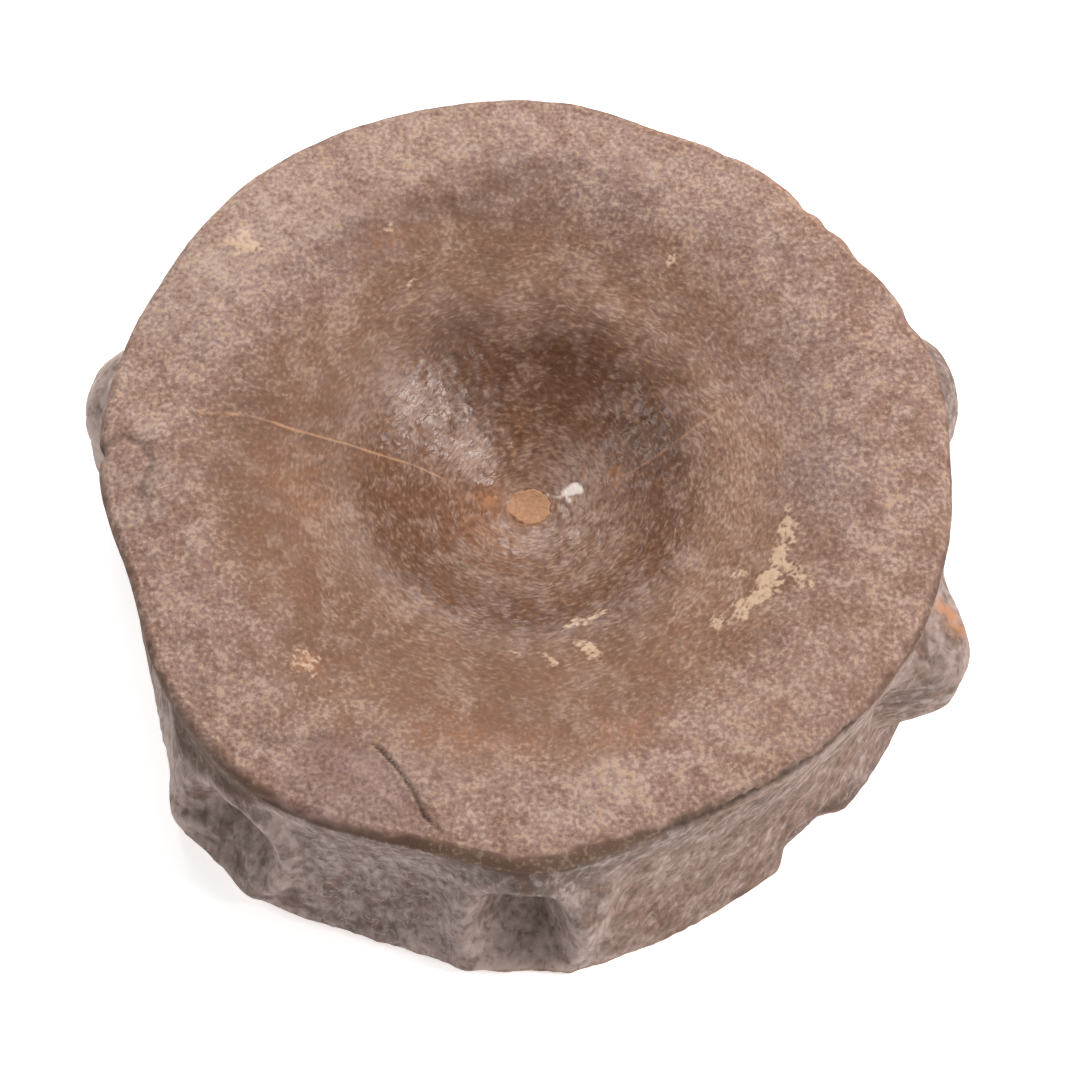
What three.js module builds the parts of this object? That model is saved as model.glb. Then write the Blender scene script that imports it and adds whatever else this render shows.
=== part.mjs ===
import * as THREE from 'three';
import { mergeVertices } from 'three/addons/utils/BufferGeometryUtils.js';

// Fossil vertebral centrum of an ichthyosaur: a short bone disc, dished on both faces,
// lying on its hinder face. Millimetres, +Z up, the disc's axis is vertical.
// Azimuths are in degrees, counter-clockwise from +X seen from above.
// The dorsal side, where the neural arch sat, points to azimuth 250.

// Main sizes
const RIM_RADIUS = 42.2;
const THICKNESS = 27;
const EDGE_ROUND = 1.3;
const WAIST_HOLLOW = 1.3;
const CREST_RADIUS = 36;
const CREST_FALL = 0.3;

// Dished faces: a shallow bowl inside the rim band, then a funnel with a soft lip
const BOWL_INNER = 22;
const BOWL_OUTER = 35;
const BOWL_DEPTH = 2.6;
const FUNNEL_RADIUS = 17.5;
const FUNNEL_DEPTH = 8.4;
const FUNNEL_CURVE = 1.45;
const FUNNEL_LIP = 0.28;

// Notochordal pit, and the sediment that fills the upper one
const PIT_RADIUS = 1.85;
const PIT_MOUTH = 2.3;
const PIT_FLOOR = 12.4;
const PLUG_CLEARANCE = 0.3;
const PLUG_TOP = 10.9;
const PLUG_DOME = 0.35;
const PLUG_SIDES = 24;

// The upper dish is deepest a little off the disc's axis, and its rim isn't moved
const DISH_SHIFT = [0.7, 0.3];
const SHIFT_FADE = [6, 34];

// The lower rim stands on three low lobes, worn flat at one level
const FOOT_COUNT = 3;
const FOOT_AZIMUTH = 30;
const FOOT_SINK = 0.35;
const FOOT_WAVE = 0.3;

// Mesh steps. The sides crowd together where the flank is most worked:
// azimuth, half width in degrees, added density
const SIDES = 108;
const CROWDS = [
  [251, 25, 2.4],
  [336, 10, 1.2],
  [163, 9, 1.0],
  [20, 9, 1.0],
  [120, 9, 0.8],
  [315, 5, 0.8],
];
const FLANK_ROWS = 15;
const EDGE_ROWS = 3;
const UPPER_RINGS = [3.6, 5.4, 7.4, 9.6, 12, 14.4, 16.4, 18.4, 20.8, 23.4, 26, 28.6, 31.2, 33.6, 36, 38.6];
const LOWER_RINGS = [4.4, 7.6, 11.2, 14.6, 18, 22, 26, 30, 33, 36, 38.6];

// Swells and flats of the rims' outline: azimuth, half width in degrees, height in millimetres
const UPPER_SWELLS = [
  [2, 6, -0.5],
  [15, 18, 0.8],
  [39, 13, -1.2],
  [70, 7, -1.2],
  [88, 50, 0.9],
  [127, 13, 0.7],
  [152, 8, -0.4],
  [172, 8, -0.1],
  [198, 9, -2.0],
  [233, 9, 0.9],
  [256, 6, -0.5],
  [272, 5, 0.9],
  [296, 11, -1.0],
  [333, 14, 0.3],
];
const LOWER_SWELLS = [
  [60, 14, -0.7],
  [120, 14, 0.3],
  [184, 8, -0.9],
  [198, 10, -1.6],
  [228, 10, 2.8],
  [239, 5, 0.6],
  [250, 8, 0.4],
  [272, 13, 1.9],
  [335, 14, 0.3],
];

// Rib facets, each a low blunt knob: its reach before and after its azimuth in degrees, its
// reach along the axis, and the share of that reach that its top takes. The fourth one is
// hidden in the photograph, and mirrors the third about the dorsal azimuth.
const RIB_FACETS = [
  { azimuth: 335.5, before: 8.3, after: 13.5, height: 6.2, level: 16.8, halfLength: 12.5, top: 0.15 },
  { azimuth: 163.3, before: 10.8, after: 10, height: 4.9, level: 11.8, halfLength: 13, top: 0.45 },
  { azimuth: 21.5, before: 14, after: 10, height: 5.9, level: 11.5, halfLength: 11.4, top: 0.35 },
  { azimuth: 118.5, before: 10, after: 14, height: 5.9, level: 11.5, halfLength: 11.4, top: 0.35 },
];
const FACET_SQUARENESS = 2.6;

// Neural arch facets: two oval hollows with raised rims, one on each side of the canal
// floor. before and after are the oval's reach in degrees on either side of its azimuth,
// lean is how far its top turns to the right, as a share of the reach after, and rimTurn is
// where its rim is highest. bar is a low ridge across it at barLevel, and the whole form
// fades out downwards over the levels in low.
const ARCH_HOLLOWS = [
  {
    azimuth: 229.6, before: 9.4, after: 6.8, level: 9.4, halfLength: 8.9, lean: 0.35,
    depth: 3.9, rim: 1.5, rimTurn: 30, bar: 1.5, barLevel: 5.8, low: [-1, 4],
  },
  {
    azimuth: 270.6, before: 7.9, after: 6.4, level: 9.6, halfLength: 11.2, lean: -0.05,
    depth: 4.5, rim: 1.3, rimTurn: 50, bar: 0, barLevel: 0, low: [-1, 7],
  },
];
const HOLLOW_FLOOR = 0.15;
const HOLLOW_EDGE = 1.05;
const RIM_AT = 1.12;
const RIM_WIDTH = 0.17;
const RIM_LEAST = 0.35;
const BAR_WIDTH = 1.3;
const BAR_ENDS = [0.6, 1];

// Ridges beside the hollows, the last one a smooth horn
const ARCH_RIDGES = [
  { azimuth: 217.5, width: 3, height: 1.4, level: 8, flatLength: 4, footLength: 12 },
  { azimuth: 262.4, width: 1.5, height: 0.6, level: 8, flatLength: 6, footLength: 10 },
  { azimuth: 278.9, width: 2.5, height: 2.4, level: 12.6, flatLength: 1.8, footLength: 6.5 },
];
const CANAL_FLOOR = { azimuth: 251.5, flat: 6, foot: 10, depth: 0.5 };
const CANAL_LOW = [2, 6];
const CANAL_HIGH = [20, 25];

// Chip broken out of the lower rim
const CHIP = { azimuth: 314.3, flat: 2.8, foot: 7.2, depth: 1.6, flatLevel: 3, footLevel: 7.5 };

// The outline's swells fade inwards over the faces, and the flank's relief fades at the rims
const SWELL_FADE = 4;
const RELIEF_FADE = 3.2;
const UPPER_FADE = [22, 26.5];

const DEGREE = Math.PI / 180;

// Helper functions

function smooth(value, low, high) {
  return THREE.MathUtils.smoothstep(value, low, high);
}

// 1 inside the flat half width, falling to 0 at the foot
function plateau(distance, flat, foot) {
  return 1 - smooth(Math.abs(distance), flat, foot);
}

// Signed difference of two azimuths, -180 to 180
function turn(azimuth, from) {
  return THREE.MathUtils.euclideanModulo(azimuth - from + 180, 360) - 180;
}

function bell(distance, width) {
  return Math.exp(-0.5 * (distance / width) ** 2);
}

function swell(azimuth, swells) {
  return swells.reduce((sum, [at, width, height]) => sum + height * bell(turn(azimuth, at), width), 0);
}

// Depth of a dished face below its rim plane, at a radius outside the pit
function faceDepth(radius) {
  const bowl = BOWL_DEPTH * (1 - smooth(radius, BOWL_INNER, BOWL_OUTER));
  const rise = 1 - (radius / FUNNEL_RADIUS) ** FUNNEL_CURVE;
  const funnel = (FUNNEL_DEPTH * (rise + Math.hypot(rise, FUNNEL_LIP))) / 2;
  const crestRun = RIM_RADIUS - EDGE_ROUND - CREST_RADIUS;
  const crest = CREST_FALL * (Math.max(0, radius - CREST_RADIUS) / crestRun) ** 2;
  return bowl + funnel + crest;
}

// Half of a profile: from the axis out to the top of the rounded edge, as radius and depth
function faceProfile(rings) {
  const points = [[0, PIT_FLOOR], [PIT_RADIUS, PIT_FLOOR], [PIT_MOUTH, faceDepth(PIT_MOUTH)]];
  rings.forEach((radius) => points.push([radius, faceDepth(radius)]));
  for (let row = 0; row < EDGE_ROWS; row += 1) {
    const angle = (row / EDGE_ROWS) * 90 * DEGREE;
    const radius = RIM_RADIUS - EDGE_ROUND * (1 - Math.sin(angle));
    points.push([radius, CREST_FALL + EDGE_ROUND * (1 - Math.cos(angle))]);
  }
  return points;
}

// Flank from the lower edge to the upper one, gently waisted
function flankProfile() {
  const low = CREST_FALL + EDGE_ROUND;
  const points = [];
  for (let row = 0; row <= FLANK_ROWS; row += 1) {
    const part = row / FLANK_ROWS;
    const level = low + part * (THICKNESS - 2 * low);
    points.push([RIM_RADIUS - WAIST_HOLLOW * Math.sin(part * Math.PI) ** 1.3, level]);
  }
  return points;
}

function ribRelief(azimuth, level) {
  return RIB_FACETS.reduce((sum, facet) => {
    const away = turn(azimuth, facet.azimuth);
    const across = Math.abs(away) / (away < 0 ? facet.before : facet.after);
    const along = Math.abs(level - facet.level) / facet.halfLength;
    const far = (across ** FACET_SQUARENESS + along ** FACET_SQUARENESS) ** (1 / FACET_SQUARENESS);
    return sum + facet.height * (1 - smooth(far, facet.top, 1));
  }, 0);
}

function hollowRelief(hollow, azimuth, level) {
  const along = (level - hollow.level) / hollow.halfLength;
  const away = turn(azimuth, hollow.azimuth) - hollow.lean * hollow.after * along;
  const across = away / (away < 0 ? hollow.before : hollow.after);
  const far = Math.hypot(across, along);
  const facing = 0.5 + 0.5 * Math.cos(Math.atan2(along, across) - hollow.rimTurn * DEGREE);
  const floor = -hollow.depth * (1 - smooth(far, HOLLOW_FLOOR, HOLLOW_EDGE));
  const rim = hollow.rim * (RIM_LEAST + (1 - RIM_LEAST) * facing) * bell(far - RIM_AT, RIM_WIDTH);
  const bar = hollow.bar * bell(level - hollow.barLevel, BAR_WIDTH) * plateau(across, ...BAR_ENDS);
  return (floor + rim + bar) * smooth(level, ...hollow.low);
}

function archRelief(azimuth, level) {
  let relief = 0;
  ARCH_HOLLOWS.forEach((hollow) => {
    relief += hollowRelief(hollow, azimuth, level);
  });
  ARCH_RIDGES.forEach((ridge) => {
    const across = bell(turn(azimuth, ridge.azimuth), ridge.width);
    relief += ridge.height * across * plateau(level - ridge.level, ridge.flatLength, ridge.footLength);
  });
  const floor = plateau(turn(azimuth, CANAL_FLOOR.azimuth), CANAL_FLOOR.flat, CANAL_FLOOR.foot);
  const along = smooth(level, ...CANAL_LOW) * (1 - smooth(level, ...CANAL_HIGH));
  return relief - CANAL_FLOOR.depth * floor * along;
}

function chipRelief(azimuth, level) {
  const across = plateau(turn(azimuth, CHIP.azimuth), CHIP.flat, CHIP.foot);
  return -CHIP.depth * across * (1 - smooth(level, CHIP.flatLevel, CHIP.footLevel));
}

// Azimuths of the lathe's sides, in degrees from +X
function sideAzimuths() {
  const sums = [0];
  for (let step = 0; step < 360; step += 1) {
    sums.push(sums[step] + 1 + swell(step + 0.5, CROWDS));
  }
  const azimuths = [];
  let step = 0;
  for (let side = 0; side < SIDES; side += 1) {
    const wanted = (side / SIDES) * sums[360];
    while (sums[step + 1] < wanted) step += 1;
    azimuths.push(step + (wanted - sums[step]) / (sums[step + 1] - sums[step]));
  }
  return azimuths;
}

// How far a point of the upper dish is moved sideways
function dishShift(plainRadius, level) {
  const share = level > THICKNESS / 2 ? 1 - smooth(plainRadius, ...SHIFT_FADE) : 0;
  return DISH_SHIFT.map((length) => length * share);
}

// Moves one point of the plain lathe to its place on the bone
function shapePoint(point, azimuths) {
  const plainRadius = Math.hypot(point.x, point.y);
  const side = Math.round((Math.atan2(point.y, point.x) / (2 * Math.PI)) * SIDES);
  const azimuth = azimuths[THREE.MathUtils.euclideanModulo(side, SIDES)];
  const level = point.z;
  const upperShare = smooth(level, 0, THICKNESS);
  const lowOutline = swell(azimuth, LOWER_SWELLS);
  const outline = lowOutline + (swell(azimuth, UPPER_SWELLS) - lowOutline) * upperShare;
  const onRim = (plainRadius / RIM_RADIUS) ** SWELL_FADE;
  const onFlank = smooth(plainRadius, RIM_RADIUS - RELIEF_FADE, RIM_RADIUS - WAIST_HOLLOW);
  const knobs = ribRelief(azimuth, level) + archRelief(azimuth, level);
  const relief = knobs * (1 - smooth(level, ...UPPER_FADE)) + chipRelief(azimuth, level);
  const radius = plainRadius + outline * onRim + relief * onFlank;
  const foot = -FOOT_SINK + FOOT_WAVE * (1 - Math.cos((azimuth - FOOT_AZIMUTH) * FOOT_COUNT * DEGREE));
  const lowShare = onRim * (1 - smooth(level, 0, THICKNESS / 2));
  const height = Math.max(0, level + foot * lowShare);
  const shift = dishShift(plainRadius, level);
  const x = radius * Math.cos(azimuth * DEGREE) + shift[0];
  point.set(x, radius * Math.sin(azimuth * DEGREE) + shift[1], height);
}

// One closed body of revolution about +Z, from profile points of radius and level
function latheBody(points, sides) {
  const profile = points.map(([radius, level]) => new THREE.Vector2(radius, level));
  const lathe = new THREE.LatheGeometry(profile, sides);
  lathe.rotateX(Math.PI / 2);
  lathe.deleteAttribute('normal');
  lathe.deleteAttribute('uv');
  return mergeVertices(lathe, 1e-4);
}

// Sub-parts

function centrumGeometry() {
  const lower = faceProfile(LOWER_RINGS);
  const upper = faceProfile(UPPER_RINGS).map(([radius, depth]) => [radius, THICKNESS - depth]).reverse();
  const geometry = latheBody([...lower, ...flankProfile(), ...upper], SIDES);
  const position = geometry.getAttribute('position');
  const azimuths = sideAzimuths();
  const point = new THREE.Vector3();
  for (let index = 0; index < position.count; index += 1) {
    shapePoint(point.fromBufferAttribute(position, index), azimuths);
    position.setXYZ(index, point.x, point.y, point.z);
  }
  geometry.computeVertexNormals();
  return geometry;
}

// Ochre sediment left in the pit of the upper face
function plugGeometry() {
  const radius = PIT_RADIUS - PLUG_CLEARANCE;
  const floor = THICKNESS - PIT_FLOOR + PLUG_CLEARANCE;
  const top = THICKNESS - PLUG_TOP;
  const points = [
    [0, floor],
    [radius, floor],
    [radius, top - PLUG_DOME],
    [radius * 0.6, top - PLUG_DOME * 0.3],
    [0, top],
  ];
  const geometry = latheBody(points, PLUG_SIDES);
  geometry.computeVertexNormals();
  return geometry;
}

// Materials

const boneMaterial = new THREE.MeshStandardMaterial({ color: 0xa98a79, roughness: 0.72, metalness: 0 });
const sedimentMaterial = new THREE.MeshStandardMaterial({ color: 0xc08f6b, roughness: 0.95, metalness: 0 });

const centrum = new THREE.Mesh(centrumGeometry(), boneMaterial);
centrum.name = 'centrum';

const pitPlug = new THREE.Mesh(plugGeometry(), sedimentMaterial);
pitPlug.name = 'pit_plug';
pitPlug.position.set(...DISH_SHIFT, 0);

// The origin is under the middle of the outline, on the surface that the bone lies on
const outline = new THREE.Box3().setFromObject(centrum);
const middle = outline.getCenter(new THREE.Vector3());

const bone = new THREE.Group();
bone.position.set(-middle.x, -middle.y, -outline.min.z);
bone.add(centrum, pitPlug);

const vertebra = new THREE.Group();
vertebra.add(bone);
vertebra.updateMatrixWorld(true);

export default vertebra;
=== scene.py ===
"""Fossil vertebral centrum of an ichthyosaur, dressed for rendering.

Lengths in the shape functions are millimetres, in the bone's own frame: +Z along the disc's
axis, the lower rim at level 0. Azimuths are degrees, counter-clockwise from +X. Blender gets
metres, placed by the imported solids' boxes.
"""
import math

import bpy
import numpy as np
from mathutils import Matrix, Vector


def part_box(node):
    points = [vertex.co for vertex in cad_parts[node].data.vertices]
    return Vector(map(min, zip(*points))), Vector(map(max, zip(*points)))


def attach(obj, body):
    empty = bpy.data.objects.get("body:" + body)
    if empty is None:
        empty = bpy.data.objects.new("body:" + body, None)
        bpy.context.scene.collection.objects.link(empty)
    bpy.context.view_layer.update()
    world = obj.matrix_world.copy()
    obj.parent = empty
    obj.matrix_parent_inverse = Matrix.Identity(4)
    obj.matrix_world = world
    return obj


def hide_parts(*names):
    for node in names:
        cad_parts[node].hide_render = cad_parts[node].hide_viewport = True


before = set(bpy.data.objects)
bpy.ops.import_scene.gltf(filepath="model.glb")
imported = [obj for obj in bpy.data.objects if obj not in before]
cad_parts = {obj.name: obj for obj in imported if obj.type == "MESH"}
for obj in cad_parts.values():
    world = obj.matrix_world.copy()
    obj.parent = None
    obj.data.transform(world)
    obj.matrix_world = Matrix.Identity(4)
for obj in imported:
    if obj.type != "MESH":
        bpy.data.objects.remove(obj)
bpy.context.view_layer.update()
MM = 0.001

# Main sizes, the same as the solid's
RIM_RADIUS = 42.2
THICKNESS = 27.0
EDGE_ROUND = 1.3
WAIST_HOLLOW = 1.3
WAIST_POWER = 1.3
CREST_RADIUS = 36.0
CREST_FALL = 0.3
BOWL_INNER = 22.0
BOWL_OUTER = 35.0
BOWL_DEPTH = 2.6
FUNNEL_RADIUS = 17.5
FUNNEL_DEPTH = 8.4
FUNNEL_CURVE = 1.45
FUNNEL_LIP = 0.28
PIT_RADIUS = 1.85
PIT_MOUTH = 2.3
PIT_FLOOR = 12.4
PLUG_FLOOR = 12.1
DISH_SHIFT = (0.7, 0.3)
SHIFT_FADE = (6.0, 34.0)
FOOT_COUNT = 3
FOOT_AZIMUTH = 30.0
FOOT_SINK = 0.35
FOOT_WAVE = 0.3

# Swells of the rims' outline: azimuth, half width in degrees, height
UPPER_SWELLS = [
    (2, 6, -0.5),
    (15, 18, 0.8),
    (39, 13, -1.2),
    (70, 7, -1.2),
    (88, 50, 0.9),
    (127, 13, 0.7),
    (152, 8, -0.4),
    (172, 8, -0.1),
    (198, 9, -2.0),
    (233, 9, 0.9),
    (256, 6, -0.5),
    (272, 5, 0.9),
    (296, 11, -1.0),
    (333, 14, 0.3),
]
LOWER_SWELLS = [
    (60, 14, -0.7),
    (120, 14, 0.3),
    (184, 8, -0.9),
    (198, 10, -1.6),
    (228, 10, 2.8),
    (239, 5, 0.6),
    (250, 8, 0.4),
    (272, 13, 1.9),
    (335, 14, 0.3),
]

# Rib facets: azimuth, reach before and after it in degrees, height, level, half length, top share
RIB_FACETS = [
    (335.5, 8.3, 13.5, 6.2, 16.8, 12.5, 0.15),
    (163.3, 10.8, 10.0, 4.9, 11.8, 13.0, 0.45),
    (21.5, 14.0, 10.0, 5.9, 11.5, 11.4, 0.35),
    (118.5, 10.0, 14.0, 5.9, 11.5, 11.4, 0.35),
]
FACET_SQUARENESS = 2.6

# Neural arch facets, as in the solid
ARCH_HOLLOWS = [
    dict(azimuth=229.6, before=9.4, after=6.8, level=9.4, half_length=8.9, lean=0.35,
         depth=3.9, rim=1.5, rim_turn=30.0, bar=1.5, bar_level=5.8, low=(-1.0, 4.0)),
    dict(azimuth=270.6, before=7.9, after=6.4, level=9.6, half_length=11.2, lean=-0.05,
         depth=4.5, rim=1.3, rim_turn=50.0, bar=0.0, bar_level=0.0, low=(-1.0, 7.0)),
]
HOLLOW_FLOOR = 0.15
HOLLOW_EDGE = 1.05
RIM_AT = 1.12
RIM_WIDTH = 0.17
RIM_LEAST = 0.35
BAR_WIDTH = 1.3
BAR_ENDS = (0.6, 1.0)

# Ridges beside them: azimuth, width in degrees, height, level, flat and foot half lengths
ARCH_RIDGES = [
    (217.5, 3.0, 1.4, 8.0, 4.0, 12.0),
    (262.4, 1.5, 0.6, 8.0, 6.0, 10.0),
    (278.9, 2.5, 2.4, 12.6, 1.8, 6.5),
]
CANAL_AZIMUTH = 251.5
CANAL_FLAT = 6.0
CANAL_FOOT = 10.0
CANAL_DEPTH = 0.5
CHIP_AZIMUTH = 314.3
CHIP_FLAT = 2.8
CHIP_FOOT = 7.2
CHIP_DEPTH = 1.6
CHIP_LEVELS = (3.0, 7.5)
SWELL_FADE = 4
RELIEF_FADE = 3.2
UPPER_FADE = (22.0, 26.5)

# Fine mesh
SIDES = 1260
FACE_ROWS = 170
EDGE_ROWS = 14
FLANK_ROWS = 120
LOWER_ROWS = 60
PLUG_SIDES = 96
PLUG_ROWS = 26

# Stretches of the bone's profile
LOWER_FACE = 0
SIDE = 1
UPPER_FACE = 2

# Layers of the material's masks, up to four to a colour attribute
MASK_LAYERS = {
    "zones": ("rim", "funnel", "flank", "mauve"),
    "marks": ("crust", "vein", "dark", "white"),
    "tints": ("edge", "orange", "brown", "shade"),
    "parts": ("canal", "brown_flank", "hollow", "groove"),
    "flank_marks": ("streaks", "scar", "pale", "waver"),
    "texture": ("blotch", "mottle", "speck"),
}

# Marks on the upper face, as azimuth and radius, seen in the photograph
LEFT_VEIN = [(170.3, 32.5), (168, 28.3), (167.7, 26), (168.3, 20), (167.8, 15.6), (165, 11.5), (164.5, 8)]
RIGHT_VEIN = [(24.5, 41.5), (22.7, 38), (22.5, 32), (21.5, 26), (20, 21), (17, 17), (13.5, 13), (11, 9)]
CRACK = [(244.3, 33.4), (246.5, 33.7), (250.7, 35.1), (253.9, 36.8), (256.5, 38.9), (259, 39.9)]
SCAR_EDGE = [(229, 39.5), (234.2, 37.4), (238.3, 34.9), (241.5, 33.9), (244.3, 33.4)]
LEFT_FOLD = [
    (177.5, 41.8), (175.8, 39.6), (176.8, 38.1), (180.1, 36.3), (182.3, 37.2), (185.6, 37.7),
    (190, 37.2),
]
TOP_FOLD = [(112.1, 32.1), (108.1, 30.6), (104.4, 30.1), (98.2, 30.9), (94, 32), (88, 33.7), (81.9, 34.7)]
WHITE_MARK = [(31.9, 3.0), (20, 3.6), (18, 5.1), (17.3, 5.9)]
WHITE_SPUR = [(18, 4.6), (8, 4.8)]
# Pale crusts: azimuth, radius, half length, half width, heading in degrees, cover
CRUSTS = [
    (139.2, 38.2, 1.9, 1.1, 0, 1.0),
    (57.5, 28.3, 0.9, 0.7, 60, 0.7),
    (225.7, 29.8, 1.1, 1.5, 20, 0.6),
    (345.2, 26.9, 2.0, 0.8, 72, 0.95),
    (339.8, 27.2, 2.2, 1.1, 62, 0.95),
    (334.0, 27.1, 1.9, 1.3, 40, 0.95),
    (328.5, 26.6, 2.3, 1.0, 38, 0.95),
    (324.2, 26.1, 1.1, 1.0, 60, 0.85),
    (336.5, 29.2, 1.9, 0.9, -60, 0.6),
    (332.0, 23.7, 1.1, 0.4, 10, 0.6),
    (318.9, 25.1, 1.0, 0.9, 0, 0.75),
    (286.8, 16.9, 1.6, 0.5, 15, 0.6),
    (297.5, 16.9, 1.6, 0.6, 35, 0.65),
    (289.0, 20.0, 1.5, 1.0, -50, 0.75),
    (277.2, 20.3, 1.3, 0.4, -35, 0.6),
    (268.0, 19.5, 1.2, 0.3, -20, 0.5),
    (117.0, 30.6, 1.0, 0.4, 15, 0.6),
    (118.3, 24.6, 0.8, 0.5, 60, 0.55),
]
# Notches of the upper rim: azimuth, half width in degrees, depth
NOTCHES = [
    (45.6, 1.3, 0.5),
    (41.0, 1.0, 0.35),
    (34.5, 1.6, 0.45),
    (22.5, 1.4, 0.5),
    (60, 1.2, 0.3),
    (178.6, 0.8, 0.6),
]
# How far the brown of the upper rim, partly painted shade of the rounded edge, comes down the flank: azimuth,
# depth
BROWN_EDGE = [
    (0, 1.0), (150, 1.0), (195, 4.0), (205, 9.0), (212, 13.0), (222, 10.5), (231, 6.0), (238, 1.6),
    (252, 1.2), (262, 2.0), (272, 2.6), (282, 2.4), (290, 1.4), (360, 1.0),
]
# How far that brown and painted shade comes onto the upper face: azimuth, width
FACE_EDGE = [
    (0, 0.4), (196, 0.4), (210, 0.5), (240, 0.4), (252, 0.7), (262, 1.2), (276, 1.5), (286, 1.0),
    (297, 0.7), (312, 0.5), (360, 0.4),
]
# Soft patches of the upper face: azimuth, half width, radius, half width, strength
MAUVE_AND_SHEEN_PATCHES = [
    (357, 14, 29, 3.5, 1.0),
    (30, 22, 29, 4.5, 0.8),
    (66, 20, 34, 3.5, 0.9),
    (90, 20, 33, 3.0, 0.5),
    (150, 16, 37, 4.0, 0.6),
    (130, 14, 31, 3.5, 0.6),
    (184, 8, 39, 2.5, 0.9),
    (205, 10, 36, 2.5, 0.4),
    (246, 9, 38, 2.5, 0.9),
    (275, 10, 37.5, 2.0, 0.7),
    # Painted sheen on the funnel's left wall
    (140, 18, 13, 5.0, 0.7),
]
BROWN_PATCHES = [
    (325, 22, 37, 4.5, 0.35),
    (290, 14, 30, 4.0, 0.3),
    (108, 12, 29, 4.0, 1.0),
    (190, 24, 26, 4.5, 0.8),
    (152, 20, 20, 3.5, 0.8),
    (262, 30, 26, 5.0, 0.9),
    (250, 22, 31.5, 3.0, 0.8),
    (100, 12, 22, 3.0, 0.8),
    (300, 20, 24, 3.0, 0.6),
    (215, 14, 21, 4.0, 0.5),
]
# Painted shade on the funnel's walls, darkest on the far wall and beside the painted sheen, with dark stain
# in the funnel and bowl as well
SHADE_AND_STAIN_PATCHES = [
    (84, 34, 16.0, 5.6, 1.0),
    (120, 9, 13.5, 4.0, 0.9),
    (172, 14, 19.5, 4.0, 0.55),
    (250, 22, 27.5, 4.0, 0.35),
    (166, 14, 27, 3.5, 0.35),
    (105, 14, 23, 4.0, 0.5),
    (86, 16, 31, 3.0, 0.45),
    (184, 20, 16.5, 3.0, 0.65),
    (186, 12, 26, 4.5, 0.3),
    (170, 16, 13.5, 3.0, 0.7),
    (186, 16, 9.0, 3.4, 0.75),
    (212, 22, 13.0, 3.0, 0.75),
    (255, 34, 14.0, 2.6, 0.6),
    (300, 26, 14.5, 3.0, 0.42),
    (345, 20, 14.5, 2.0, 0.6),
    (18, 16, 14.2, 2.2, 0.8),
    (90, 22, 30, 5.0, 0.35),
    (112, 14, 31, 1.2, 0.45),
]
PALE_AND_SHEEN_PATCHES = [
    # The first is a painted sheen on the funnel's left wall, the rest are pale patches of the bone
    (141, 11, 11, 5.0, 1.25),
    (20, 60, 5.5, 1.6, 0.9),
    (250, 30, 6, 1.8, 0.3),
    (320, 30, 9.5, 2.5, 0.4),
    (245, 16, 10, 2.5, 0.35),
    (172, 14, 39, 2.5, 0.5),
    (120, 26, 38, 3.5, 0.8),
    (80, 20, 38.5, 2.5, 0.6),
    (196, 14, 18.5, 1.6, 0.3),
    (275, 12, 36, 2.5, 0.5),
    (310, 26, 37, 3.5, 0.15),
]
# The mask that each list makes
UPPER_PATCHES = {
    "mauve": MAUVE_AND_SHEEN_PATCHES,
    "brown": BROWN_PATCHES,
    "shade": SHADE_AND_STAIN_PATCHES,
    "pale": PALE_AND_SHEEN_PATCHES,
}
# Pale patches of the flank: azimuth, half width, level, half height, strength
SIDE_PATCHES = [
    (342, 6, 19.5, 3.0, 0.6),
    (163, 14, 12, 10, 1.0),
    (228, 5, 13, 3, 1.0),
    (270, 6, 8, 6, 0.4),
    (268, 8, 2, 3, 0.5),
    (351, 6, 24, 4, 1.6),
    (351, 5, 3, 4, 1.2),
    (210, 9, 3, 3.5, 1.1),
    (205, 6, 24, 3.5, 0.7),
    (286, 4, 18, 4, 0.5),
    (205, 5, 8, 4, 0.3),
]
# Dark patches of the flank, with the same values: painted shade below the upper rim's edge, beside and under
# the right knob and in the chip
SIDE_SHADES = [
    (277, 13, 24, 4.5, 1.4),
    (213, 6, 21, 4.5, 0.6),
    (330, 5, 19, 3.0, 0.8),
    (320, 6, 3, 3.0, 1.0),
    (340, 6, 8.0, 5.0, 0.6),
    (308, 12, 18, 4.0, 0.45),
]
# Ochre spot on the right knob, with the same values
KNOB_SPOT = (339.8, 1.0, 23.4, 1.5, 1.2)
# Orange stains of the upper face
ORANGE_PATCHES = [
    (184, 10, 22, 3.0, 0.2),
    (168, 16, 4.4, 0.9, 0.75),
    (13.4, 4, 8.8, 0.6, 0.7),
    (200, 40, 5.5, 2.0, 0.3),
    (288, 5, 31, 1.5, 0.3),
    (262, 10, 30, 1.5, 0.25),
    (226, 1.5, 29.8, 0.6, 1.0),
    (118.5, 3, 29.5, 0.6, 0.4),
]

# Sectors: azimuth, half width in degrees of the full part and of its foot
CANAL_SECTOR = (CANAL_AZIMUTH, 9, 13)
RIGHT_SECTOR = (307, 22, 30)
# Far side of the flank, where the key light falls, painted darker as shade
FAR_SIDE_SHADE_SECTOR = (85, 55, 72)
SCAR_SECTOR = (246, 9.5, 12.5)
GROOVE_SECTOR = (304, 13, 19)
OCHRE_SECTOR = (52, 18, 26)
CHIP_SECTOR = (CHIP_AZIMUTH, CHIP_FLAT, CHIP_FOOT)
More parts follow.
